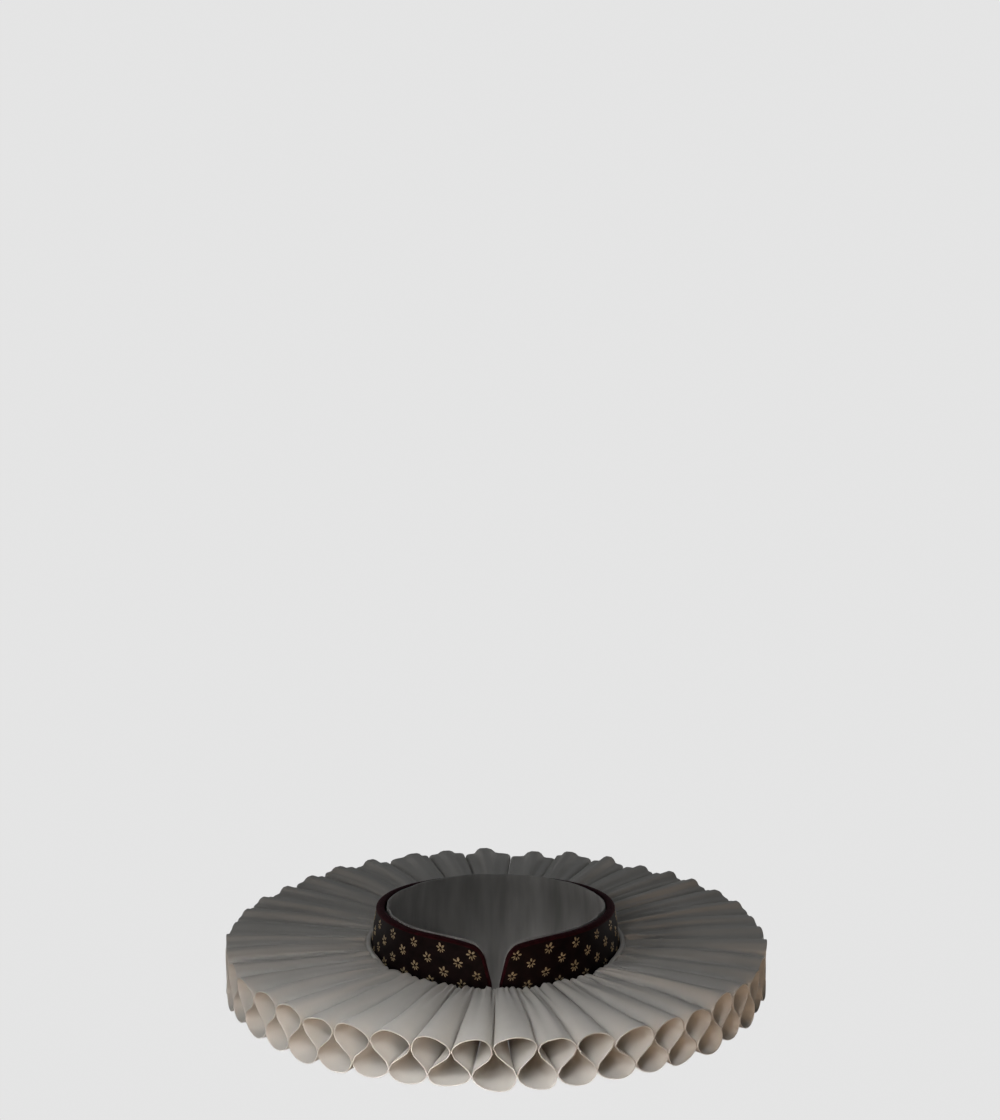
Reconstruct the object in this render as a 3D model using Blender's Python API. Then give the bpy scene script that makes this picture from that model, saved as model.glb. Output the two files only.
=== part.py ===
"""Ruff collar: a gathered linen frill on its own narrow neckband, around a stiff standing band.

Metres, +Z up, wearer facing -Y. The origin is the middle of the neck, level with the seam where
the tops of the frill's sets meet the neckband.
"""

import math

import bpy

MM = 0.001
SEAM_GAP = 0.3 * MM

# Frill: one long strip set into figure-of-eight tubes. Its two ends meet behind the neck.
SETS = 42
FRILL_WALL = 1.0 * MM
SET_CLEARANCE = 0.7 * MM  # from a loop's widest point to the middle line between it and the next loop
MEETING_OFFSET_DEG = 3.4  # how far the meeting of the ends lies from the centre back
MEETING_WIDTH_DEG = 12.4  # from the last upper tube on one side to the first on the other
END_GAP = 0.5 * MM
# radius, crest level, height of the folded frill, share of it in each rounded loop end
FRILL_STATIONS = (
    (73.2 * MM, 0.9 * MM, 21.0 * MM, 0.12),
    (104.0 * MM, 2.4 * MM, 25.5 * MM, 0.17),
    (151.0 * MM, 2.0 * MM, 28.0 * MM, 0.26),
)
# share of the half width, share of the arch height, from the tip of a loop to its widest point
FOOT_POINTS = ((0.0, 0.0), (0.82, 0.43), (1.0, 1.0))
# the same over a crest, and the height share behind the neck, where a narrow ridge stands on flat shoulders
CREST_POINTS = ((0.0, 0.0, 0.0), (0.45, 0.11, 0.33), (0.86, 0.49, 0.46), (1.0, 1.0, 1.0))

# The frill's own neckband: a narrow white binding whose rounded top edge shows as a welt.
NECKBAND_INNER = 69.9 * MM
NECKBAND_WALL = 2.9 * MM
NECKBAND_FOOT = -21.5 * MM
NECKBAND_TOP = 1.8 * MM
NECKBAND_STEPS = 48

# Standing band: brocade over a stiff interlining, then a thin lining, then a velvet edge.
BAND_WALL = 4.4 * MM
LINING_WALL = 1.1 * MM
LINING_GAP = 0.5 * MM  # behind the brocade and the velvet edge
LINING_RISE = 2.4 * MM  # how far the lining stands above the velvet edge at the centre back
# Back neck facing: the lining runs on below the band there, in a half-moon
FACING_DEPTH = 27.0 * MM
FACING_HALF_ANGLE = math.radians(52.0)
BAND_FOOT = -26.0 * MM
BAND_TOP_MEAN = 21.0 * MM
BAND_TOP_RISE = 4.0 * MM  # how much the top edge rises at the front and falls at the back
BAND_SIDE_RISE = 1.3 * MM
FRONT_DIP = 3.6 * MM  # how much the top edge curves down towards the front opening
FRONT_DIP_HALF_ANGLE = math.radians(23.0)
NOTCH_FOOT = 3.6 * MM
NOTCH_SLOPE = 0.5  # how much the front opening widens for each unit of height
CORNER_RADIUS = 7.0 * MM
EDGE_DEPTH = 2.0 * MM  # how far the velvet edge stands beyond the brocade
BAND_COLUMNS = 36
CORNER_STEPS = 4
# level, outer radius
BAND_OUTLINE = ((-26.0 * MM, 69.4 * MM), (0.0, 69.3 * MM), (12.0 * MM, 68.2 * MM), (24.0 * MM, 66.1 * MM))
# Velvet edge's section: share of the half thickness, share of EDGE_DEPTH
EDGE_SECTION = ((1.0, 0.0), (1.0, 0.55), (0.62, 1.0), (-0.62, 1.0), (-1.0, 0.55), (-1.0, 0.0))

# name, red, green, blue, roughness
MATERIALS = (
    ("ruff_linen", 0.86, 0.85, 0.82, 0.85),
    ("neckband_linen", 0.84, 0.83, 0.80, 0.85),
    ("gold_figured_brocade", 0.03, 0.02, 0.025, 0.60),
    ("crimson_velvet", 0.20, 0.02, 0.05, 0.90),
    ("lining_linen", 0.36, 0.345, 0.32, 0.85),
)


def clear_scene():
    for obj in list(bpy.data.objects):
        bpy.data.objects.remove(obj)


def make_material(name, red, green, blue, roughness):
    material = bpy.data.materials.new(name)
    material.use_nodes = True
    shader = material.node_tree.nodes["Principled BSDF"]
    shader.inputs["Base Color"].default_value = (red, green, blue, 1.0)
    shader.inputs["Roughness"].default_value = roughness
    material.diffuse_color = (red, green, blue, 1.0)
    return material


def add_mesh(name, points, faces, material, collection):
    mesh = bpy.data.meshes.new(name)
    mesh.from_pydata(points, [], faces)
    mesh.validate()
    mesh.materials.append(material)
    obj = bpy.data.objects.new(name, mesh)
    collection.objects.link(obj)
    return obj


def around_neck(radius, angle, level):
    """A point at an angle from the centre front, growing towards +X."""
    return (radius * math.sin(angle), -radius * math.cos(angle), level)


def between(table, at):
    """Linear reading of a two-column table."""
    for (x0, y0), (x1, y1) in zip(table, table[1:]):
        if at <= x1:
            return y0 + (y1 - y0) * (at - x0) / (x1 - x0)
    return table[-1][1]


def loft(rings, closed_along):
    """Points and outward faces of a solid from closed rings of equal length. Open lofts get end caps."""
    count = len(rings[0])
    points = [point for ring in rings for point in ring]
    faces = []
    spans = len(rings) if closed_along else len(rings) - 1
    for i in range(spans):
        a, b = i * count, ((i + 1) % len(rings)) * count
        for j in range(count):
            k = (j + 1) % count
            faces.append((a + j, b + j, b + k, a + k))
    if not closed_along:
        faces.append(tuple(range(count)))
        last = (len(rings) - 1) * count
        faces.append(tuple(last + j for j in reversed(range(count))))
    return points, faces


# ---- Frill -------------------------------------------------------------------------------------


def tube_angles():
    """Angles of the lower and upper tubes in turn, from one end of the strip to the other."""
    meeting = math.radians(180.0 - MEETING_OFFSET_DEG)
    half_width = math.radians(MEETING_WIDTH_DEG) / 2
    last_upper = meeting - half_width
    first_upper = meeting - 2 * math.pi + half_width
    half = SETS // 2
    left = -first_upper / (half - 0.5)  # one set's pitch on the -X side
    right = last_upper / (half - 0.5)
    angles = [meeting - 2 * math.pi]
    for step in range(2 * SETS - 1):
        sets_from_front = (step + 1 - SETS) / 2
        angles.append(sets_from_front * (left if sets_from_front < 0 else right))
    angles.append(meeting)
    return angles


def half_set(width, foot_loop, crest_loop, height, arch, flat):
    """Offsets and levels from the bottom of a lower tube to just before the top of the upper one."""
    rising = [(foot_loop * x, arch * z) for x, z in FOOT_POINTS]
    falling = [
        (width - crest_loop * x, height - arch * (z + (z_flat - z) * flat))
        for x, z, z_flat in reversed(CREST_POINTS[1:])
    ]
    return rising + [(width / 2, height / 2)] + falling


def frill_section(radius, crest, height, arch_share, angles):
    """The frill's middle line at one radius, as arc length from the front and level."""
    arch = arch_share * height
    half_loop = math.pi * radius / SETS - SET_CLEARANCE
    line = []
    for step, (start, end) in enumerate(zip(angles, angles[1:])):
        width = (end - start) * radius
        at_meeting = step in (0, len(angles) - 2)
        crest_loop = width - SET_CLEARANCE if at_meeting else half_loop
        flat = flatness(start if step % 2 else end)
        half = half_set(width, half_loop, crest_loop, height, arch, flat)
        if step % 2:
            half = [(width - x, z) for x, z in reversed(half[1:])]
            half.insert(0, (0.0, height))
        line += [(start * radius + x, crest - height + z) for x, z in half]
    line.append((angles[-1] * radius, crest - height))
    line[0] = (line[0][0] + END_GAP, line[0][1])
    line[-1] = (line[-1][0] - END_GAP, line[-1][1])
    return line


def flatness(angle):
    """How far a crest has changed from round in front (0) to ridged and flat behind (1)."""
    share = min(max((0.65 - math.cos(angle)) / 1.1, 0.0), 1.0)
    return share * share * (3 - 2 * share)


def offset_line(line, distance):
    """The line moved sideways, with mitred corners."""
    moved = []
    for i, (x, z) in enumerate(line):
        x0, z0 = line[max(i - 1, 0)]
        x1, z1 = line[min(i + 1, len(line) - 1)]
        before = unit(x - x0, z - z0) if i else unit(x1 - x, z1 - z)
        after = unit(x1 - x, z1 - z) if i < len(line) - 1 else before
        side = unit(-before[1] - after[1], before[0] + after[0])
        reach = distance / max(side[0] * -before[1] + side[1] * before[0], 0.6)
        moved.append((x + reach * side[0], z + reach * side[1]))
    return moved


def unit(x, z):
    size = math.hypot(x, z)
    return (x / size, z / size)


def frill_solid():
    angles = tube_angles()
    upper, lower = [], []
    for radius, crest, height, arch_share in FRILL_STATIONS:
        line = frill_section(radius, crest, height, arch_share, angles)
        for side, distance in ((upper, FRILL_WALL / 2), (lower, -FRILL_WALL / 2)):
            moved = offset_line(line, distance)
            side.append([around_neck(radius, x / radius, z) for x, z in moved])
    rings = [
        [row[column] for row in lower] + [row[column] for row in reversed(upper)]
        for column in range(len(upper[0]))
    ]
    return loft(rings, closed_along=False)


# ---- Neckband ----------------------------------------------------------------------------------


def neckband_solid():
    inner, outer = NECKBAND_INNER, NECKBAND_INNER + NECKBAND_WALL
    shoulder = NECKBAND_TOP - NECKBAND_WALL / 3
    section = (
        (outer, NECKBAND_FOOT),
        (outer, shoulder),
        (outer - NECKBAND_WALL / 4, NECKBAND_TOP),
        (inner + NECKBAND_WALL / 4, NECKBAND_TOP),
        (inner, shoulder),
        (inner, NECKBAND_FOOT),
    )
    meeting = math.radians(180.0 - MEETING_OFFSET_DEG)
    margin = END_GAP / inner
    start, end = meeting - 2 * math.pi + margin, meeting - margin
    rings = []
    for step in range(NECKBAND_STEPS + 1):
        angle = start + (end - start) * step / NECKBAND_STEPS
        rings.append([around_neck(radius, angle, level) for radius, level in section])
    return loft(rings, closed_along=False)


# ---- Standing band -----------------------------------------------------------------------------


def band_radius(level):
    return between(BAND_OUTLINE, level)


def band_top(angle):
    """Level of the finished top edge, above the corners of the front opening."""
    from_front = min(angle, 2 * math.pi - angle)
    dip = FRONT_DIP * max(1 - from_front / FRONT_DIP_HALF_ANGLE, 0.0) ** 2
    return BAND_TOP_MEAN + BAND_TOP_RISE * math.cos(angle) + BAND_SIDE_RISE * math.sin(angle) ** 2 - dip


def notch_edge(level):
    """Half the width of the front opening at this level."""
    return (NOTCH_FOOT + NOTCH_SLOPE * max(level, 0.0)) / 2


def band_columns(inset):
    """Distance along the band from its front edge and the level of its top, for each column.

    The outline is inset from the finished edge, so that the velvet edge fits around it.
    """
    radius = CORNER_RADIUS - inset
    corner = []
    for step in range(CORNER_STEPS):
        turn = math.pi / 2 * step / CORNER_STEPS
        corner.append((radius * (1 - math.cos(turn)), radius * (1 - math.sin(turn))))
    return corner + [(radius, 0.0)]


def band_lines(inset):
    """The band's columns from one front edge to the other, each as (angle at a level, top level)."""
    corner = band_columns(inset)
    girth = 2 * math.pi * band_radius(0.0)
    reach = corner[-1][0]
    first = [(distance, drop) for distance, drop in corner]
    middle = []
    for step in range(1, BAND_COLUMNS):
        middle.append((reach + (girth - 2 * reach) * step / BAND_COLUMNS, 0.0))
    last = [(girth - distance, drop) for distance, drop in reversed(corner)]
    return [(distance / girth, drop) for distance, drop in first + middle + last]


def band_point(share, level, inward, inset):
    """A point of the band: share of the way round from one front edge to the other."""
    edge = (notch_edge(level) + inset) / band_radius(level)
    angle = edge + (2 * math.pi - 2 * edge) * share
    return around_neck(band_radius(level) - inward, angle, level)


def facing_depth(angle):
    """How far the back neck facing runs below the band, at an angle from the centre front."""
    away = (math.pi - abs(angle)) / FACING_HALF_ANGLE
    return FACING_DEPTH * max(1 - away * away, 0.0)


def wrapped_solid(inset, outer, inner, back_rise=0.0, faced=False):
    """A wall that follows the band between two depths below its outer surface."""
    lines = band_lines(inset)
    rings = []
    for share, drop in lines:
        angle = 2 * math.pi * share
        top = band_top(angle) - inset - drop + back_rise * max(-math.cos(angle), 0.0) ** 2
        foot = BAND_FOOT - (facing_depth((angle + math.pi) % (2 * math.pi) - math.pi) if faced else 0.0)
        levels = (foot, 0.0, top / 2, top)
        outside = [band_point(share, level, outer, inset) for level in levels]
        inside = [band_point(share, level, inner, inset) for level in reversed(levels)]
        rings.append(inside + outside)
    return loft(rings, closed_along=False)


def edge_path(inset):
    """The outline that the velvet edge follows: share of the way round, level, and outward direction."""
    lines = band_lines(inset)
    path = []
    for level in (BAND_FOOT, 0.0):
        path.append((0.0, level, -1.0, 0.0))
    for share, drop in lines:
        angle = 2 * math.pi * share
        turn = math.asin(min(max(1 - drop / (CORNER_RADIUS - inset), 0.0), 1.0))
        side = -math.cos(turn) if share < 0.5 else math.cos(turn)
        path.append((share, band_top(angle) - inset - drop, side, math.sin(turn)))
    for level in (0.0, BAND_FOOT):
        path.append((1.0, level, 1.0, 0.0))
    return path


def edge_solid(inset, outer, inner):
    """The velvet edge, swept along the band's front edges and top."""
    middle, half = (outer + inner) / 2, (inner - outer) / 2
    rings = []
    for share, level, side, up in edge_path(inset):
        ring = []
        for across, out in EDGE_SECTION:
            reach = SEAM_GAP + out * (inset - SEAM_GAP)
            at = level + up * reach
            shift = side * reach / (2 * math.pi * band_radius(0.0))
            ring.append(band_point(share + shift, at, middle - across * half, inset))
        rings.append(ring)
    return loft(rings, closed_along=False)


def main():
    clear_scene()
    materials = {row[0]: make_material(*row) for row in MATERIALS}
    collection = bpy.data.collections.new("ruff_collar")
    bpy.context.scene.collection.children.link(collection)
    lining_outer = BAND_WALL + LINING_GAP
    solids = (
        ("ruff_frill", frill_solid(), "ruff_linen"),
        ("ruff_neckband", neckband_solid(), "neckband_linen"),
        ("band_outer", wrapped_solid(EDGE_DEPTH, 0.0, BAND_WALL), "gold_figured_brocade"),
        ("band_edge", edge_solid(EDGE_DEPTH, -0.15 * MM, BAND_WALL), "crimson_velvet"),
        (
            "band_lining",
            wrapped_solid(0.2 * MM, lining_outer, lining_outer + LINING_WALL, LINING_RISE, faced=True),
            "lining_linen",
        ),
    )
    for name, (points, faces), material in solids:
        add_mesh(name, points, faces, materials[material], collection)


main()
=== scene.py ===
"""Ruff collar: how it looks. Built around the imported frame, in its own named sizes (metres)."""

import math
from types import SimpleNamespace

import bpy
import numpy as np
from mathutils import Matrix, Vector


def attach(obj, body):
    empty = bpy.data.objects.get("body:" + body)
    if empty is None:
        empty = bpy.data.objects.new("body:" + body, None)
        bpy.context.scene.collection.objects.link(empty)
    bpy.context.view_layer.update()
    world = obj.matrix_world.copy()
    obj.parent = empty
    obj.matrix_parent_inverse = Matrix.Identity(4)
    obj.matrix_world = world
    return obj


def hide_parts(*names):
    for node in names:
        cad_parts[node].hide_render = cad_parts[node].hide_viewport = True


MM = 0.001
rng = np.random.default_rng(1588)

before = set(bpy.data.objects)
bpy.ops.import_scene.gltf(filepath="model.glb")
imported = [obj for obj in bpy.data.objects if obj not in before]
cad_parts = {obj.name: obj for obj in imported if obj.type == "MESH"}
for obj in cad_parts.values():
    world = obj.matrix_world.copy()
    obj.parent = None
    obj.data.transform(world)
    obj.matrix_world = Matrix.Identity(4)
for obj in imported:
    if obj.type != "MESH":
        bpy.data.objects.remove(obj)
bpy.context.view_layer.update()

# Frill: the frame's strip, with shallower valleys between its crests at the seam
SETS = 42
MEETING = math.radians(176.6)  # where the strip's two ends meet
MEETING_HALF_WIDTH = math.radians(6.2)  # from there to the next upper tube on each side
SEAM_RADIUS = 73.2 * MM
RIM_RADIUS = 151.0 * MM
# Share of the way out, crest level, folded height, share of it in each rounded loop end
FRILL_PROFILE = (
    (0.0, 0.9 * MM, 21.0 * MM, 0.06),
    (0.396, 2.4 * MM, 25.5 * MM, 0.17),
    (1.0, 2.0 * MM, 28.0 * MM, 0.26),
)
CLOTH = 0.40 * MM  # wall
HEM = 0.48 * MM  # wall over the last HEM_DEPTH of the way out
HEM_DEPTH = 2.2 * MM
PINCH = 0.25 * MM  # from a loop's widest point to the line between it and the next loop
CREST_COLUMNS = 10  # mesh columns on each side of a crest, under it and between the two
FOOT_COLUMNS = 6
STRAND_COLUMNS = 4
# Unevenness of the tubes: lean, one bend and a double bend as shares of a set's width, then level
LEAN = 0.09
SWAY = 0.085
WEAVE = 0.03
LIFT = 1.3 * MM
RIDGE = 3.8 * MM  # how far the narrow crests stand above their flat shoulders at the back
# Wrinkles: height, and how far they run: fine gathers, folds from the seam, slow waves along the tubes
GATHER_HEIGHT, GATHER_REACH = 1.3 * MM, 8 * MM
FOLD_HEIGHT, FOLD_REACH = 2.3 * MM, 20 * MM
WAVE_HEIGHT, WAVE_REACH = 0.75 * MM, 90 * MM
CREASES = 4  # lengthwise creases on each tube
# Gathered heads: how far in from the seam and how far up, row by row
HEAD_ROWS = ((2.7 * MM, -2.6 * MM), (2.0 * MM, -0.9 * MM), (1.0 * MM, -0.15 * MM))
HEAD_SPREAD = (math.radians(48), math.radians(72))  # where they give way to the bare neckband

# Standing band: level and radius of its outer face
BAND_OUTLINE = ((-26.0 * MM, 69.4 * MM), (0.0, 69.3 * MM), (12.0 * MM, 68.2 * MM), (24.0 * MM, 66.1 * MM))
BAND_FOOT = -26.0 * MM
BAND_TOP_MEAN = 21.0 * MM
BAND_TOP_RISE = 4.0 * MM  # higher in front and lower behind by this
BAND_SIDE_RISE = 1.3 * MM
FRONT_DIP = 3.6 * MM  # how far the top falls towards the front opening
FRONT_DIP_HALF_ANGLE = math.radians(23.0)
NOTCH_FOOT = 3.6 * MM  # width of the front opening at the seam
NOTCH_SLOPE = 0.5  # how much wider it is for each unit of height
CORNER_RADIUS = 7.0 * MM
EDGE_DEPTH = 2.0 * MM
BAND_WALL = 4.4 * MM

LINING_DEPTH = 5.45 * MM  # from the band's outer face to the middle of the lining
LINING_WALL = 0.7 * MM
LINING_INSET = 0.3 * MM
LINING_RISE = 2.4 * MM  # how far its top is raised at the back
FACING_DEPTH = 27.0 * MM  # how far it runs below the band at the back
FACING_HALF_ANGLE = math.radians(52.0)
CREASES_IN_LINING = 40

# The frill's own neckband
NECKBAND_INNER = 69.9 * MM
NECKBAND_WALL = 2.9 * MM
NECKBAND_FOOT = -21.5 * MM
NECKBAND_TOP = 1.8 * MM
NECKBAND_SUNK = 4.6 * MM  # how far it is pressed down under the gathered heads
NECKBAND_GAP = 0.008  # radians from the meeting to each of its ends

# Gold flowers on the brocade
FLOWER_COLUMNS = 45
FLOWER_GAP = 10.6 * MM  # the part of the band's girth that the columns leave out, at the front opening
FLOWER_START = 4.0 * MM  # from the wearer's left front edge to the first column
FLOWER_STEP = 9.45 * MM
# Level of the lower and upper flower in an even and an odd column
FLOWER_LEVELS = ((6.6 * MM, 19.4 * MM), (0.5 * MM, 13.0 * MM))
# Petals as satin pads, in millimetres and degrees: middle across and up, half length, half width, direction
PETALS = (
    (0.0, 1.95, 1.40, 0.86, 90),
    (1.95, 0.70, 1.45, 0.66, 21),
    (-1.95, 0.70, 1.45, 0.66, 159),
    (1.78, -1.22, 1.30, 0.42, -33),
    (-1.78, -1.22, 1.30, 0.42, -147),
    (0.76, -2.08, 1.30, 0.42, -68),
    (-0.76, -2.08, 1.30, 0.42, -112),
)
PETAL_SIDES = 9
PAD = 0.24 * MM  # how high a pad stands

WAVE_PERIOD = 0.31416  # metres between the bands of a wave texture of scale 1

WARM, NEUTRAL, COOL = (1.0, 0.68, 0.44), (1.0, 0.97, 0.94), (0.93, 0.97, 1.0)
FLOOR_LEVEL = -0.30
FLOOR_REACH = 15
SURROUND_SEEN = 0.78  # how bright the floor and the room look
SURROUND_LIGHT = 0.06  # how much light they give

CAMERA_RISE = math.radians(20.4)
CAMERA_PITCH = math.radians(14.8)
CAMERA_AWAY = 2.2
CAMERA_ASIDE = 0.0025
CAMERA_LENS = 125.4
CAMERA_SENSOR = 36.0


# ---- Meshes ------------------------------------------------------------------------------------


def smooth_noise(count, width):
    """Seeded noise along a row, smoothed over width neighbours, about -1 to 1."""
    raw = rng.standard_normal(count + 8 * int(width + 1))
    reach = np.arange(-3 * int(width + 1), 3 * int(width + 1) + 1)
    kernel = np.exp(-0.5 * (reach / width) ** 2)
    out = np.convolve(raw, kernel / np.sqrt((kernel**2).sum()), mode="same")
    start = 4 * int(width + 1)
    return np.clip(out[start : start + count] / 1.6, -1.4, 1.4)


def grid_faces(rows, columns, start=0, flip=False, wrap=False):
    """Four-sided faces over a grid of points, closed round its columns if wrap is set."""
    spans = columns if wrap else columns - 1
    i, j = np.meshgrid(np.arange(rows - 1), np.arange(spans), indexing="ij")
    k = (j + 1) % columns
    here, beyond = i * columns, (i + 1) * columns
    quads = np.stack([here + j, beyond + j, beyond + k, here + k], -1).reshape(-1, 4) + start
    return quads[:, ::-1] if flip else quads


def mesh_object(name, points, faces, material, uv=None, sharp=40.0):
    """A smooth-shaded object, with edges kept sharp above an angle in degrees."""
    mesh = bpy.data.meshes.new(name)
    mesh.from_pydata([tuple(p) for p in points], [], [tuple(int(n) for n in f) for f in faces])
    if uv is not None:
        layer = mesh.uv_layers.new(name="cloth")
        loops = np.empty(len(mesh.loops), np.int32)
        mesh.loops.foreach_get("vertex_index", loops)
        layer.data.foreach_set("uv", np.asarray(uv, np.float32)[loops].ravel())
    mesh.polygons.foreach_set("use_smooth", np.ones(len(mesh.polygons), bool))
    mesh.set_sharp_from_angle(angle=math.radians(sharp))
    mesh.materials.append(material)
    mesh.update()
    obj = bpy.data.objects.new(name, mesh)
    bpy.context.scene.collection.objects.link(obj)
    return obj


def surface_normals(grid):
    """Unit normals at each point of a grid of points."""
    along = np.gradient(grid, axis=0)
    across = np.gradient(grid, axis=1)
    normal = np.cross(along, across)
    return normal / np.maximum(np.linalg.norm(normal, axis=2, keepdims=True), 1e-12)


def shell_object(name, middle, thickness, uv, material, sharp=40.0):
    """A closed thin shell around a grid of points, thickness given for each point or for all."""
    rows, columns, _ = middle.shape
    half = np.broadcast_to(np.asarray(thickness) / 2, (rows, columns))[..., None]
    normal = surface_normals(middle)
    points = np.concatenate([(middle + turn * normal * half).reshape(-1, 3) for turn in (1, -1)])
    offset = rows * columns
    faces = [grid_faces(rows, columns), grid_faces(rows, columns, offset, flip=True)]
    top = np.arange(columns)
    last = (rows - 1) * columns + top
    left = np.arange(rows) * columns
    right = left + columns - 1
    for line, turned in ((top, True), (last, False), (left, False), (right, True)):
        a, b = line[:-1], line[1:]
        strip = np.stack([a, b, b + offset, a + offset], -1)
        faces.append(strip[:, ::-1] if turned else strip)
    uv = np.concatenate([uv.reshape(-1, 2)] * 2)
    return mesh_object(name, points, np.concatenate(faces), material, uv, sharp)


def around(radius, angle, level):
    """Points round the neck, the angle counted from the front."""
    return np.stack([radius * np.sin(angle), -radius * np.cos(angle), level + 0 * angle], -1)


# ---- Materials ---------------------------------------------------------------------------------


def new_material(name):
    """A material with its nodes, its links and its main shader."""
    material = bpy.data.materials.new(name)
    material.use_nodes = True
    nodes, links = material.node_tree.nodes, material.node_tree.links
    return material, nodes, links, nodes["Principled BSDF"]


def add_node(nodes, kind, **inputs):
    """A shader node with the stated inputs, underscores standing for spaces."""
    node = nodes.new(kind)
    for key, value in inputs.items():
        node.inputs[key.replace("_", " ")].default_value = value
    return node


def woven_bump(nodes, links, shader, thread, strength, distance):
    """Crossing threads of the stated spacing as fine bumps over the cloth's own coordinates."""
    where = nodes.new("ShaderNodeUVMap")
    where.uv_map = "cloth"
    waves = []
    for direction in ("X", "Y"):
        wave = add_node(nodes, "ShaderNodeTexWave", Scale=WAVE_PERIOD / thread, Distortion=1.2, Detail=1.0)
        wave.inputs["Detail Scale"].default_value = 0.6
        wave.bands_direction = direction
        links.new(where.outputs["UV"], wave.inputs["Vector"])
        waves.append(wave)
    mix = nodes.new("ShaderNodeMath")
    mix.operation = "MAXIMUM"
    links.new(waves[0].outputs["Fac"], mix.inputs[0])
    links.new(waves[1].outputs["Fac"], mix.inputs[1])
    bump = add_node(nodes, "ShaderNodeBump", Strength=strength, Distance=distance)
    links.new(mix.outputs[0], bump.inputs["Height"])
    links.new(bump.outputs["Normal"], shader.inputs["Normal"])
    return bump


def mottle(nodes, links, shader, dark, light, scale, detail=3.0, painted_crease_shade=False):
    """Uneven colour between a dark and a light one; made to run upright, its darker bands are painted shade of
    soft creases.
    """
    noise = add_node(nodes, "ShaderNodeTexNoise", Scale=scale, Detail=detail, Roughness=0.6)
    where = nodes.new("ShaderNodeTexCoord")
    if painted_crease_shade:
        stretch = nodes.new("ShaderNodeMapping")
        stretch.inputs["Scale"].default_value = (3.2, 3.2, 0.5)
        links.new(where.outputs["Object"], stretch.inputs["Vector"])
        links.new(stretch.outputs["Vector"], noise.inputs["Vector"])
    else:
        links.new(where.outputs["Object"], noise.inputs["Vector"])
    ramp = nodes.new("ShaderNodeValToRGB")
    ramp.color_ramp.elements[0].position = 0.3
    ramp.color_ramp.elements[1].position = 0.7
    ramp.color_ramp.elements[0].color = (*dark, 1)
    ramp.color_ramp.elements[1].color = (*light, 1)
    links.new(noise.outputs["Fac"], ramp.inputs["Fac"])
    links.new(ramp.outputs["Color"], shader.inputs["Base Color"])
    return ramp


def linen(name, dark, light, through, thread=0.42 * MM, painted_crease_shade=False):
    """Plain-woven linen that lets a share of the light through."""
    material, nodes, links, shader = new_material(name)
    ramp = mottle(nodes, links, shader, dark, light, 22.0, painted_crease_shade=painted_crease_shade)
    shader.inputs["Roughness"].default_value = 0.78
    shader.inputs["Specular IOR Level"].default_value = 0.25
    shader.inputs["Sheen Weight"].default_value = 0.15
    bump = woven_bump(nodes, links, shader, thread, 0.35, 0.00008)
    glow = nodes.new("ShaderNodeBsdfTranslucent")
    links.new(ramp.outputs["Color"], glow.inputs["Color"])
    links.new(bump.outputs["Normal"], glow.inputs["Normal"])
    mix = add_node(nodes, "ShaderNodeMixShader", Fac=through)
    links.new(shader.outputs["BSDF"], mix.inputs[1])
    links.new(glow.outputs["BSDF"], mix.inputs[2])
    links.new(mix.outputs["Shader"], nodes["Material Output"].inputs["Surface"])
    return material


def brocade():
    """The band's near-black ground; its gold figures are a mesh."""
    material, nodes, links, shader = new_material("gold_figured_brocade_look")
    mottle(nodes, links, shader, (0.0022, 0.0012, 0.0016), (0.008, 0.0035, 0.004), 200.0)
    shader.inputs["Roughness"].default_value = 0.62
    shader.inputs["Specular IOR Level"].default_value = 0.06
    woven_bump(nodes, links, shader, 0.6 * MM, 0.12, 0.00005)
    return material


def gold_thread():
    """Dull gold silk and metal thread."""
    material, nodes, links, shader = new_material("gold_thread")
    mottle(nodes, links, shader, (0.20, 0.158, 0.09), (0.40, 0.325, 0.20), 900.0)
    shader.inputs["Metallic"].default_value = 0.25
    shader.inputs["Roughness"].default_value = 0.45
    return material


def velvet():
    """Crimson pile, dark where it is seen face on."""
    material, nodes, links, shader = new_material("crimson_velvet_look")
    mottle(nodes, links, shader, (0.009, 0.0009, 0.002), (0.030, 0.003, 0.0065), 340.0, 4.0)
    shader.inputs["Roughness"].default_value = 0.9
    shader.inputs["Specular IOR Level"].default_value = 0.1
    shader.inputs["Sheen Weight"].default_value = 0.10
    shader.inputs["Sheen Roughness"].default_value = 0.35
    shader.inputs["Sheen Tint"].default_value = (0.75, 0.25, 0.35, 1)
    noise = add_node(nodes, "ShaderNodeTexNoise", Scale=2600.0, Detail=2.0)
    where = nodes.new("ShaderNodeTexCoord")
    links.new(where.outputs["Object"], noise.inputs["Vector"])
    bump = add_node(nodes, "ShaderNodeBump", Strength=0.6, Distance=0.0002)
    links.new(noise.outputs["Fac"], bump.inputs["Height"])
    links.new(bump.outputs["Normal"], shader.inputs["Normal"])
    return material


# ---- Frill -------------------------------------------------------------------------------------


def tube_angles():
    """Angles of the lower and upper tubes in turn, from one end of the strip to the other."""
    first_upper = MEETING - 2 * math.pi + MEETING_HALF_WIDTH
    last_upper = MEETING - MEETING_HALF_WIDTH
    half = SETS / 2 - 0.5
    left, right = -first_upper / half, last_upper / half
    steps = (np.arange(2 * SETS - 1) + 1 - SETS) / 2
    inner = np.where(steps < 0, steps * left, steps * right)
    return np.concatenate([[MEETING - 2 * math.pi], inner, [MEETING]])


def curve_through(table, column, at):
    """The parabola through one column of a three-row table."""
    x0, x1, x2 = (row[0] for row in table)
    y0, y1, y2 = (row[column] for row in table)
    return (
        y0 * (at - x1) * (at - x2) / ((x0 - x1) * (x0 - x2))
        + y1 * (at - x0) * (at - x2) / ((x1 - x0) * (x1 - x2))
        + y2 * (at - x0) * (at - x1) / ((x2 - x0) * (x2 - x1))
    )


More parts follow.
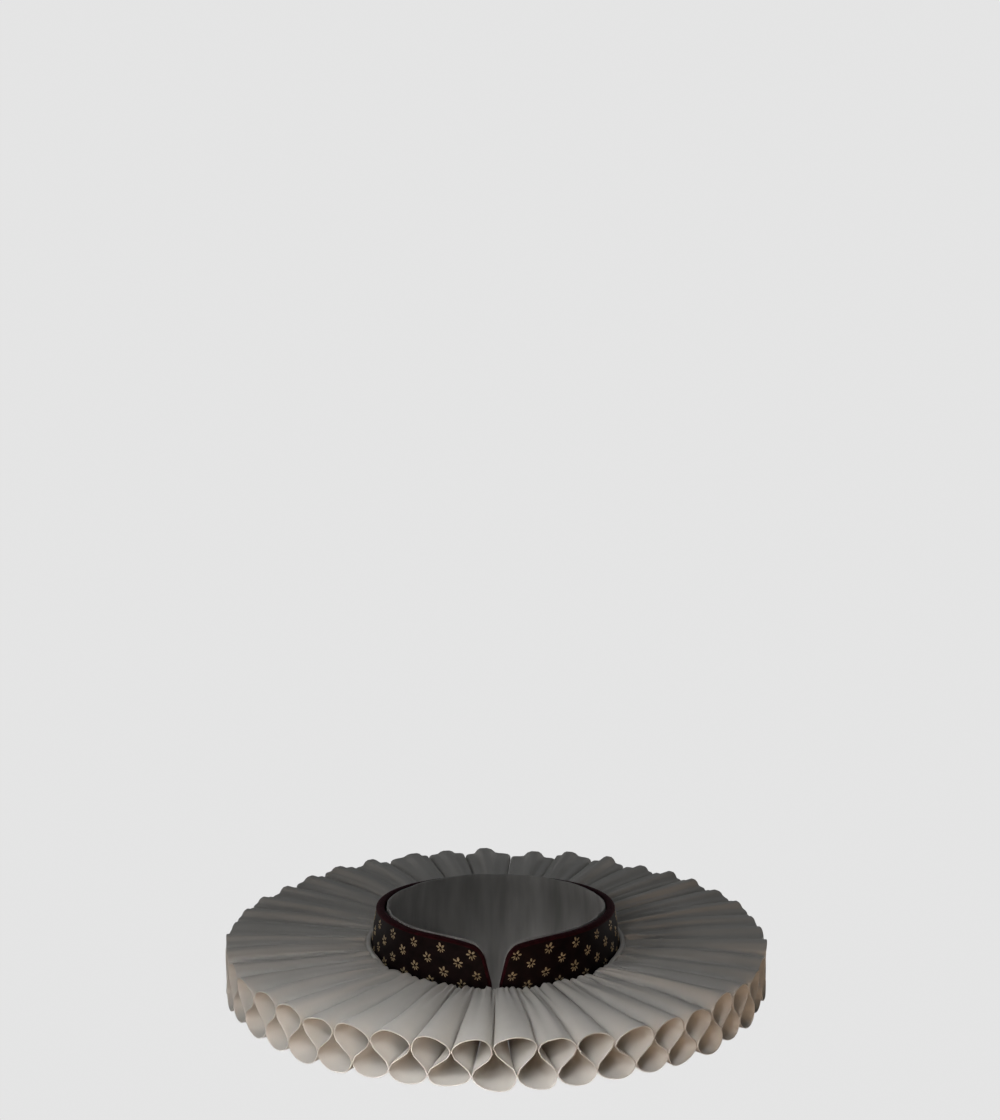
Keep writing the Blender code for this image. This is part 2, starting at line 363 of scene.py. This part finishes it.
def frill_rows():
    """Shares of the way from the seam to the rim: close together at the gathers and at the hem."""
    near = np.linspace(0, 12 * MM, 8)
    middle = np.linspace(12 * MM, RIM_RADIUS - SEAM_RADIUS - HEM_DEPTH, 14)[1:]
    hem = RIM_RADIUS - SEAM_RADIUS - HEM_DEPTH + HEM_DEPTH * np.array([0.12, 0.55, 1.0])
    return np.concatenate([near, middle, hem]) / (RIM_RADIUS - SEAM_RADIUS)


def smooth_step(value, low, high):
    """0 below low and 1 above high, with a soft rise between."""
    share = np.clip((value - low) / (high - low), 0, 1)
    return share * share * (3 - 2 * share)


def crest_drop(turn, depth, flat, ridge):
    """How far a crest falls below its tip at each turn from it (a quarter turn is its widest place)."""
    ridge = min(ridge, 0.6 * depth)
    shoulders = ridge * smooth_step(np.sin(turn), 0.2, 0.52)
    narrow = shoulders + (depth - ridge) * (1 - np.cos(turn)) ** 5
    return (1 - flat) * depth * (1 - np.cos(turn)) + flat * narrow


def crest_creases(where, tube, crest, count):
    """Lengthwise creases on the tops: each tube has its own few, running out from the gathers."""
    tubes = SETS * 2 + 1
    out = np.zeros((len(where), len(tube)))
    for _ in range(count):
        start = rng.uniform(-0.75, 0.75, tubes)
        drift = rng.uniform(-0.35, 0.35, tubes)
        bend = rng.uniform(-0.12, 0.12, tubes)
        depth = rng.uniform(-0.9, 0.55, tubes) * MM
        length = rng.uniform(0.25, 1.15, tubes)
        width = rng.uniform(0.10, 0.26, tubes)
        for i, share in enumerate(where):
            middle = start + drift * share + bend * math.sin(7 * share)
            fade = np.clip(1 - share / length, 0, 1) ** 0.7
            away = (crest - middle[tube]) / width[tube]
            out[i] += depth[tube] * fade[tube] * np.exp(-(np.abs(away) ** 1.5))
    return out


def tube_unevenness(angles, upper, pitch):
    """Each tube's own lean, bends, level, width, roundness, skew and flatness, from one end of the strip on."""
    count = len(angles)
    behind = np.clip(-np.cos(angles), 0, 1)
    tubes = SimpleNamespace(
        lean=rng.uniform(-1, 1, count) * LEAN * pitch,
        sway=rng.uniform(-1, 1, count) * SWAY * pitch,
        weave=rng.uniform(-1, 1, count) * WEAVE * pitch,
        lift=rng.uniform(-1, 1, count) * LIFT,
        slack=np.where(upper, rng.uniform(0.975, 1.0, count), 1.0),
        roundness=np.where(upper, rng.uniform(0.82, 1.2, count), 1.0),
        skew=rng.uniform(-0.28, 0.28, count),
        behind=behind,
        flat=smooth_step(-np.cos(angles), -0.75, 0.2) * rng.uniform(0.9, 1.0, count),
        ridge=RIDGE * (0.35 + 0.65 * behind) * rng.uniform(0.5, 1.15, count),
    )
    for values in (tubes.lean, tubes.sway, tubes.weave, tubes.lift, tubes.skew):
        values[[0, -1]] = 0
    return tubes


def frill_line(share, angles, upper, pitch, tubes):
    """Radius, angles and levels of the folded strip at one share of the way from the seam to the rim."""
    crest_turn = np.linspace(0, math.pi / 2, CREST_COLUMNS + 1)[::-1]
    foot_turn = np.linspace(0, math.pi / 2, FOOT_COLUMNS + 1)
    slide = np.linspace(0, 1, STRAND_COLUMNS + 1)[1:-1]
    stops = len(angles)
    radius = SEAM_RADIUS + share * (RIM_RADIUS - SEAM_RADIUS)
    crest, height, arch_share = (curve_through(FRILL_PROFILE, column, share) for column in (1, 2, 3))
    bends = tubes.sway * math.sin(math.pi * share) + tubes.weave * math.sin(8 * share)
    at = angles + tubes.lean * share**1.5 + bends
    hang = tubes.lift * (0.2 + 0.8 * share)
    level = np.where(upper, crest + 1.2 * MM * tubes.behind * share, crest - height) + hang
    gap = np.diff(at)
    before, after = np.full(stops, pitch), np.full(stops, pitch)
    before[2:] = np.minimum(at[2:] - at[:-2], 1.4 * pitch)
    after[:-2] = np.minimum(at[2:] - at[:-2], 1.4 * pitch)
    before[1], after[-2] = 2 * gap[0], 2 * gap[-1]
    tight = 1 - (1 - tubes.slack) * share
    left, right = (np.stack([before, after]) / 2 * radius - PINCH) * tight
    arch = arch_share * height * tubes.roundness
    # neighbouring lower loops touch at one level, however far each hangs
    arch -= np.where(upper, 0, hang)
    tip = tubes.skew * left * share
    ridge = tubes.ridge * (0.3 + 0.7 * share)
    xs, zs = [], []
    for m in range(stops - 1):
        width = gap[m] * radius
        side = -1 if upper[m] else 1
        low, high = (m + 1, m) if upper[m] else (m, m + 1)
        out_low, out_high = (left[low], right[high]) if upper[m] else (right[low], left[high])
        rise_from, rise_to = level[low] + arch[low], level[high] - arch[high]
        x = np.concatenate([
            out_low * np.sin(foot_turn) + side * tip[low] * np.cos(foot_turn) ** 2,
            out_low + (width - out_high - out_low) * (1 - np.cos(math.pi * slide)) / 2,
            width - out_high * np.sin(crest_turn) + side * tip[high] * np.cos(crest_turn) ** 2,
        ])
        z = np.concatenate([
            level[low] + arch[low] * (1 - np.cos(foot_turn)),
            rise_from + (rise_to - rise_from) * slide,
            level[high] - crest_drop(crest_turn, arch[high], tubes.flat[high], ridge[high]),
        ])
        if upper[m]:
            x, z = width - x[::-1], z[::-1]
        keep = slice(None) if m == stops - 2 else slice(0, -1)
        xs.append(at[m] * radius + x[keep])
        zs.append(z[keep])
    return radius, np.concatenate(xs) / radius, np.concatenate(zs)


def across_tubes(columns, stops):
    """Each column's tube, its place across the crest (-1 to 1), its nearness to a crest's and a foot's tip."""
    span = CREST_COLUMNS + STRAND_COLUMNS + FOOT_COLUMNS
    half, step = np.divmod(np.arange(columns), span)
    falling = half % 2 == 1
    from_tip = np.where(falling, step, span - step)
    tube = np.minimum(half + np.where(falling, 0, 1), stops - 1)
    side = np.where(falling, 1, -1)
    turn = from_tip / CREST_COLUMNS * math.pi / 2
    crest = side * np.where(from_tip <= CREST_COLUMNS, np.sin(turn), 2.0)
    on_top = np.where(from_tip < CREST_COLUMNS, np.cos(np.minimum(turn, math.pi / 2)) ** 0.6, 0.0)
    from_foot = span - from_tip
    under = np.where(from_foot < FOOT_COLUMNS, np.cos(from_foot / FOOT_COLUMNS * math.pi / 2), 0.0)
    return tube, crest, on_top, under


def frill():
    """The frill as one thin shell, and the length of its strip along the hem."""
    angles = tube_angles()
    stops = len(angles)
    upper = np.arange(stops) % 2 == 1
    pitch = 2 * math.pi / SETS
    tubes = tube_unevenness(angles, upper, pitch)
    rows = frill_rows()
    lines = [frill_line(share, angles, upper, pitch, tubes) for share in rows]
    columns = len(lines[0][1])
    tube, crest, on_top, under = across_tubes(columns, stops)
    free = np.clip(on_top * 1.1, 0, 1) + 0.5 * under
    fine, broad, soft = smooth_noise(columns, 0.75), smooth_noise(columns, 1.5), smooth_noise(columns, 3.2)
    length = 1.0 + 0.6 * smooth_noise(columns, 2.5)
    edge, ragged = smooth_noise(columns, 9.0), smooth_noise(columns, 2.0)
    _, angle_there, seam_level = lines[0]
    front = 1 - smooth_step(np.abs(angle_there), *HEAD_SPREAD)
    # the gathered heads, turned in over the neckband in front
    heads = []
    for inward, rise in HEAD_ROWS:
        over = inward * front * on_top**0.6
        back = 0.06 * inward * (1 - front * on_top**0.6)
        heads.append((SEAM_RADIUS - over - back, angle_there, seam_level + rise * front * on_top))
    waved_hem = (edge * 0.8 + ragged * 0.3) * MM
    spread = [(radius + waved_hem * share**6, angle, z) for share, (radius, angle, z) in zip(rows, lines)]
    grid = np.stack([around(*line) for line in heads + spread])
    calm = np.concatenate([np.full(len(heads), 0.45), np.linspace(0.6, 1, 3), np.ones(len(rows) - 3)])[:, None]
    shares = np.concatenate([np.zeros(len(heads)), rows])
    normal = surface_normals(grid)
    reach = shares[:, None] * (RIM_RADIUS - SEAM_RADIUS)
    creased = 0.7 - 1.5 * np.abs(broad)
    pull = 0.75 + 0.5 * smooth_step(np.cos(angle_there), -0.2, 0.8)
    wrinkle = (
        GATHER_HEIGHT * fine * np.exp(-reach / (GATHER_REACH * np.clip(length, 0.4, 2)))
        + FOLD_HEIGHT * creased * pull * np.exp(-reach / (FOLD_REACH * np.clip(length, 0.35, 2)))
        + WAVE_HEIGHT * soft * np.sin(np.clip(0.15 + reach / WAVE_REACH, 0, 1) * math.pi)
    ) * free * calm + crest_creases(shares, tube, crest, CREASES) * calm * (on_top > 0)
    outward = np.where((normal[..., 2] < 0) & (on_top > 0), -1, 1)
    grid += normal * (wrinkle * outward)[..., None]
    along_hem = np.concatenate([[0], np.cumsum(np.linalg.norm(np.diff(grid[-1], axis=0), axis=1))])
    from_seam = np.concatenate([[-4.5 * MM, -3.0 * MM, -1.5 * MM], reach[len(heads):, 0]])
    uv = np.stack(np.broadcast_arrays(along_hem[None, :], from_seam[:, None]), -1)
    wall = np.where(reach > RIM_RADIUS - SEAM_RADIUS - HEM_DEPTH * 0.95, HEM, CLOTH)
    return shell_object("frill_cloth", grid, wall, uv, linen_white, 55.0), along_hem[-1]


# ---- Band --------------------------------------------------------------------------------------


def band_radius(level):
    """Radius of the band's outer face."""
    levels, radii = zip(*BAND_OUTLINE)
    return np.interp(level, levels, radii)


def band_top(angle):
    """Level of the band's top, the angle counted from one front edge round to the other."""
    from_front = np.minimum(angle, 2 * math.pi - angle)
    dip = FRONT_DIP * np.maximum(1 - from_front / FRONT_DIP_HALF_ANGLE, 0) ** 2
    return BAND_TOP_MEAN + BAND_TOP_RISE * np.cos(angle) + BAND_SIDE_RISE * np.sin(angle) ** 2 - dip


def notch_half(level):
    """Half the width of the front opening."""
    return (NOTCH_FOOT + NOTCH_SLOPE * np.maximum(level, 0)) / 2


def band_outline(inset, columns=240, corner=10):
    """Share of the way round, top level and turn of the corner, from one front edge to the other."""
    radius = CORNER_RADIUS - inset
    turn = np.linspace(0, math.pi / 2, corner + 1)
    girth = 2 * math.pi * band_radius(0.0)
    distance = np.concatenate([
        radius * (1 - np.cos(turn)),
        np.linspace(radius, girth - radius, columns)[1:-1],
        girth - radius * (1 - np.cos(turn[::-1])),
    ])
    drop = np.concatenate([
        radius * (1 - np.sin(turn)), np.zeros(columns - 2), radius * (1 - np.sin(turn[::-1]))
    ])
    share = distance / girth
    turn_at = np.concatenate([turn, np.full(columns - 2, math.pi / 2), turn[::-1]])
    return share, band_top(2 * math.pi * share) - inset - drop, turn_at


def band_point(share, level, inward, inset):
    """Points in the band, by share of the way round, level, depth inward and inset from the front edges."""
    edge = (notch_half(level) + inset) / band_radius(level)
    angle = edge + (2 * math.pi - 2 * edge) * share
    return around(band_radius(level) - inward, angle, level)


def facing_depth(share):
    """How far the half-moon facing runs below the band at the back of the neck."""
    away = 2 * math.pi * (share - 0.5) / FACING_HALF_ANGLE
    return FACING_DEPTH * np.maximum(1 - away**2, 0)


def band_sheet(name, inset, depth, thickness, material, rows=22, ripple=None, back_rise=0.0, faced=False):
    """A layer of the band as a shell, rippled, raised at the back or run on below as a facing if stated."""
    share, top, _ = band_outline(inset)
    foot = BAND_FOOT - (facing_depth(share) if faced else 0.0 * share)
    rise = np.linspace(0, 1, rows)[:, None]
    top = top + back_rise * np.maximum(-np.cos(2 * math.pi * share), 0) ** 2
    level = foot + rise * (top - foot)
    inward = depth if ripple is None else depth + ripple(share[None, :], rise)
    grid = band_point(np.broadcast_to(share, level.shape), level, inward, inset)
    girth = 2 * math.pi * band_radius(0.0)
    uv = np.stack([np.broadcast_to(share * girth, level.shape), level], -1)
    return shell_object(name, grid, thickness, uv, material)


def lining_ripple(share, rise):
    """Soft upright creases, deeper low down."""
    out = 0.0
    for place, width, depth, lean in LINING_CREASES:
        away = (share - place - lean * (rise - 0.5)) / width
        out = out + depth * np.exp(-0.5 * away**2) * (1.05 - 0.75 * rise)
    return out


def crease_table():
    """Place round the band, width, depth and lean of each lining crease."""
    places = np.sort(rng.uniform(0.02, 0.98, CREASES_IN_LINING))
    return [
        (place, rng.uniform(0.005, 0.014), rng.uniform(0.4, 1.9) * MM, rng.uniform(-0.025, 0.025))
        for place in places
    ]


def edge_roll():
    """The velvet edge: a rounded roll along both front edges and the top."""
    share, top, turn = band_outline(EDGE_DEPTH)
    foot = np.linspace(BAND_FOOT, top[0], 16)[:-1]
    still = np.zeros(len(foot))
    side = np.where(share < 0.5, -np.cos(turn), np.cos(turn))
    path_share = np.concatenate([still, share, still + 1])
    path_level = np.concatenate([foot, top, foot[::-1]])
    path_side = np.concatenate([still - 1, side, still + 1])
    path_up = np.concatenate([still, np.sin(turn), still])
    middle, half = (BAND_WALL - 0.15 * MM) / 2, (BAND_WALL + 0.3 * MM) / 2
    bend = np.linspace(0, math.pi, 11)
    across = np.concatenate([[1.0], np.cos(bend), [-1.0]])
    out = np.concatenate([[0.0], 0.12 + 0.88 * np.sin(bend) ** 0.8, [0.0]])
    uneven = 1 + 0.10 * smooth_noise(len(path_share), 3.0)
    girth = 2 * math.pi * band_radius(0.0)
    grid = np.empty((len(path_share), len(across), 3))
    for j, (a, o) in enumerate(zip(across, out)):
        reach = 0.3 * MM + o * (EDGE_DEPTH - 0.35 * MM) * np.clip(uneven, 0.9, 1.04)
        grid[:, j] = band_point(
            path_share + path_side * reach / girth,
            path_level + path_up * reach,
            middle - a * half,
            EDGE_DEPTH,
        )
    count = len(across)
    faces = grid_faces(len(path_share), count, wrap=True)
    caps = [list(range(count))[::-1], [(len(path_share) - 1) * count + n for n in range(count)]]
    points = grid.reshape(-1, 3)
    return mesh_object("velvet_edge", points, [*faces[:, ::-1], *caps], velvet_crimson, sharp=60.0)


def flowers():
    """Points and faces of all the flowers, each petal a low pad on the brocade."""
    ring = np.linspace(0, 2 * math.pi, PETAL_SIDES + 1)[:-1]
    index = np.arange(PETAL_SIDES)
    after = (index + 1) % PETAL_SIDES
    girth = 2 * math.pi * band_radius(0.0)
    points, faces, start = [], [], 0
    for column in range(FLOWER_COLUMNS):
        share = (FLOWER_START + column * FLOWER_STEP) / (girth - FLOWER_GAP)
        room = band_top(2 * math.pi * share) - EDGE_DEPTH
        squeeze = min(max(room / (23 * MM), 0.86), 1.0)
        for level in FLOWER_LEVELS[column % 2]:
            level *= squeeze
            if level > room - 2.2 * MM:
                continue
            tilt = rng.uniform(-0.35, 0.35)
            size = rng.uniform(0.80, 0.94) * MM
            place = share + rng.uniform(-0.0008, 0.0008)
            for x, y, long, wide, direction in PETALS:
                long, wide = long * rng.uniform(0.85, 1.12), wide * rng.uniform(0.8, 1.1)
                point = math.radians(direction) + rng.uniform(-0.15, 0.15)
                rise = PAD * rng.uniform(0.8, 1.3)
                for share_out, lift in ((1.0, -0.02 * MM), (0.66, 0.85 * rise), (0.0, rise)):
                    a = share_out * long * np.cos(ring)
                    b = share_out * wide * np.sin(ring)
                    if not share_out:
                        a, b = a[:1], b[:1]
                    across = x + a * math.cos(point) - b * math.sin(point)
                    along = y + a * math.sin(point) + b * math.cos(point)
                    flat = size * np.stack([
                        across * math.cos(tilt) - along * math.sin(tilt),
                        across * math.sin(tilt) + along * math.cos(tilt),
                    ], -1)
                    points.append(band_point(place + flat[:, 0] / girth, level + flat[:, 1], -lift, EDGE_DEPTH))
                middle = start + 2 * PETAL_SIDES
                outer, inner = start + index, start + PETAL_SIDES + index
                next_outer, next_inner = start + after, start + PETAL_SIDES + after
                faces += np.stack([outer, next_outer, next_inner, inner], -1).tolist()
                faces += [[i, j, middle] for i, j in zip(inner.tolist(), next_inner.tolist())]
                faces.append(outer[::-1].tolist())
                start += 2 * PETAL_SIDES + 1
    return np.concatenate(points), faces


def neckband_tape():
    """The frill's own neckband, its top rounded and slightly uneven."""
    turn = np.linspace(0, math.pi, 11)
    half = NECKBAND_WALL / 2
    middle = NECKBAND_INNER + half
    radius = np.concatenate([[middle + half], middle + half * np.cos(turn), [middle - half]])
    rounded = NECKBAND_TOP - 0.8 * half + 0.8 * half * np.sin(turn) ** 0.7
    level = np.concatenate([[NECKBAND_FOOT], rounded, [NECKBAND_FOOT]])
    angle = np.linspace(MEETING - 2 * math.pi + NECKBAND_GAP, MEETING - NECKBAND_GAP, 361)
    wave = (smooth_noise(len(angle), 1.5) * 0.22 + smooth_noise(len(angle), 4.0) * 0.25) * MM
    grid = np.empty((len(angle), len(radius), 3))
    sunk = NECKBAND_SUNK * (1 - smooth_step(np.abs(angle), *HEAD_SPREAD))
    for j, (r, z) in enumerate(zip(radius, level)):
        grid[:, j] = around(r + 0 * angle, angle, z + (wave - sunk if 0 < j < len(radius) - 1 else 0))
    count = len(radius)
    faces = grid_faces(len(angle), count, wrap=True)
    caps = [list(range(count)), [(len(angle) - 1) * count + n for n in range(count)][::-1]]
    uv = np.stack(np.broadcast_arrays((angle * middle)[:, None], level[None, :]), -1).reshape(-1, 2)
    return mesh_object("neckband_tape", grid.reshape(-1, 3), [*faces, *caps], linen_band, uv, 60.0)


# ---- Studio ------------------------------------------------------------------------------------


def staged_light(kind, name, place, target, energy, color, **settings):
    """A light in watts that is part of the studio, not of the object."""
    data = bpy.data.lights.new(name, kind)
    data.energy = energy
    data.color = color
    for key, value in settings.items():
        setattr(data, key, value)
    obj = bpy.data.objects.new(name, data)
    bpy.context.scene.collection.objects.link(obj)
    obj.location = place
    obj.rotation_euler = (Vector(target) - Vector(place)).to_track_quat("-Z", "Y").to_euler()
    return obj


def surround(nodes, links, strength):
    """Sets a light source's strength to one value as the camera sees it and another as the object does."""
    path = nodes.new("ShaderNodeLightPath")
    scale = nodes.new("ShaderNodeMath")
    scale.operation = "MULTIPLY_ADD"
    links.new(path.outputs["Is Camera Ray"], scale.inputs[0])
    scale.inputs[1].default_value = SURROUND_SEEN - SURROUND_LIGHT
    scale.inputs[2].default_value = SURROUND_LIGHT
    links.new(scale.outputs[0], strength)


# ---- Build -------------------------------------------------------------------------------------

linen_white = linen("ruff_linen_look", (0.74, 0.73, 0.70), (0.82, 0.81, 0.785), 0.20)
linen_band = linen("neckband_linen_look", (0.72, 0.71, 0.68), (0.80, 0.79, 0.76), 0.05)
# the lining's own pale tone, run through with upright darker and lighter streaks of colour that are painted
# shade of its soft creases
linen_lining = linen(
    "lining_linen_look", (0.38, 0.375, 0.365), (0.66, 0.65, 0.635), 0.05, thread=0.5 * MM, painted_crease_shade=True
)
velvet_crimson = velvet()
brocade_black = brocade()
gold = gold_thread()
LINING_CREASES = crease_table()

frill_cloth, strip_length = frill()
tape = neckband_tape()
band_cloth = band_sheet("band_brocade", EDGE_DEPTH, BAND_WALL / 2, BAND_WALL, brocade_black)
lining_cloth = band_sheet(
    "band_lining_cloth", LINING_INSET, LINING_DEPTH, LINING_WALL, linen_lining,
    rows=30, ripple=lining_ripple, back_rise=LINING_RISE, faced=True,
)
edge = edge_roll()
flower_mesh = mesh_object("gold_flowers", *flowers(), gold, sharp=70.0)

pairs = (
    (frill_cloth, "ruff_frill"),
    (tape, "ruff_neckband"),
    (band_cloth, "band_outer"),
    (lining_cloth, "band_lining"),
    (edge, "band_edge"),
)
for obj, node in pairs:
    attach(obj, "root")
    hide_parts(node)
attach(flower_mesh, "root")

# ---- Floor, light and camera ---------------------------------------------------------------------

floor_material, floor_nodes, floor_links, _ = new_material("pale_floor")
paleness = add_node(floor_nodes, "ShaderNodeEmission", Color=(1, 1, 1, 1))
surround(floor_nodes, floor_links, paleness.inputs["Strength"])
floor_links.new(paleness.outputs["Emission"], floor_nodes["Material Output"].inputs["Surface"])
corners = ((-1, -1), (1, -1), (1, 1), (-1, 1))
floor_points = [(x * FLOOR_REACH, y * FLOOR_REACH, FLOOR_LEVEL) for x, y in corners]
floor = mesh_object("floor", floor_points, [(0, 1, 2, 3)], floor_material)

# each light: where it is, what it faces, its watts
staged_light(
    "SPOT", "key", (-1.10, -0.75, 0.60), (-0.02, -0.14, -0.03), 8.0, NEUTRAL,
    spot_size=math.radians(21), spot_blend=1.0, shadow_soft_size=0.16,
)
# narrow strips over the front rim, fading out towards the neck
for name, place, target, power in (
    ("front_strip", (-0.14, -0.62, 0.46), (-0.05, -0.27, -0.02), 0.24),
    ("rim_strip", (-0.21, -0.74, 0.30), (-0.08, -0.31, -0.01), 0.13),
):
    staged_light(
        "AREA", name, place, target, power, NEUTRAL,
        shape="RECTANGLE", size=0.36, size_y=0.12, spread=math.radians(30),
    )
# low lights into the loops' mouths
mouth_fill = staged_light(
    "AREA", "mouth_fill", (0.08, -1.3, 0.0), (0, -0.1, 0), 5.0, WARM,
    shape="RECTANGLE", size=1.0, size_y=0.3,
)
# on the wearer, the clothes below keep low light out of the neck
shaded = bpy.data.collections.new("shaded_from_mouth_fill")
shaded.objects.link(lining_cloth)
shaded.collection_objects[0].light_linking.link_state = "EXCLUDE"
mouth_fill.light_linking.receiver_collection = shaded
staged_light("AREA", "side_fill", (-1.0, -1.0, -0.04), (0, -0.1, 0), 2.6, NEUTRAL, size=0.45)
for side in (-1, 1):
    staged_light(
        "AREA", f"rear_fill_{side}", (1.1 * side, 0.9, -0.05), (0, 0, 0), 2.5, NEUTRAL,
        shape="RECTANGLE", size=0.9, size_y=0.3,
    )
staged_light("AREA", "back_fill", (0, 1.7, 0.9), (0, 0, 0), 2.3, COOL, size=1.4)
world = bpy.data.worlds.new("studio")
bpy.context.scene.world = world
world.use_nodes = True
background = world.node_tree.nodes["Background"]
background.inputs["Color"].default_value = (1, 1, 1, 1)
surround(world.node_tree.nodes, world.node_tree.links, background.inputs["Strength"])
bpy.context.scene.view_settings.view_transform = "Standard"

camera_data = bpy.data.cameras.new("camera")
camera_data.sensor_fit = "VERTICAL"
camera_data.sensor_height = CAMERA_SENSOR
camera_data.lens = CAMERA_LENS
camera = bpy.data.objects.new("camera", camera_data)
bpy.context.scene.collection.objects.link(camera)
camera.location = (CAMERA_ASIDE, -CAMERA_AWAY * math.cos(CAMERA_RISE), CAMERA_AWAY * math.sin(CAMERA_RISE))
camera.rotation_euler = (math.pi / 2 - CAMERA_PITCH, 0, 0)
bpy.context.scene.camera = camera
